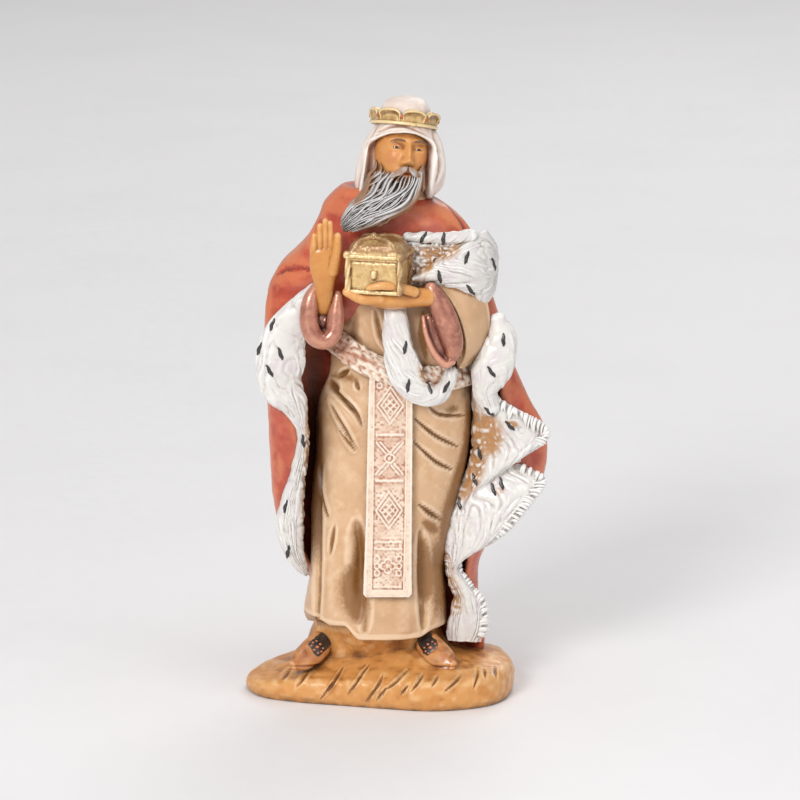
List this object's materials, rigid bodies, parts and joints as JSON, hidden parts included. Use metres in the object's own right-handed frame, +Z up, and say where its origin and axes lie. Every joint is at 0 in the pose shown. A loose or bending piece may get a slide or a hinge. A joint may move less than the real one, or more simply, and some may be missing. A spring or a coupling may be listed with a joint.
{
  "type": "nativity wise man figurine",
  "caption": "Standing bearded king figurine in an ermine-trimmed cape and crowned head cloth, one hand raised and a small casket on the other, on a mound of ground.",
  "frame": {"origin": "on the flat underside of the ground, below the figure's neck", "axes": "+Z up, -Y the way the figure's chest faces, +X towards the arm that holds the casket"},
  "size_m": [0.0641, 0.0423, 0.127],
  "materials": {
    "painted_polymer": "hand-painted satin with a brown wash"
  },
  "bodies": {
    "root": {"wise_man_figurine": "painted_polymer"}
  },
  "joints": []
}
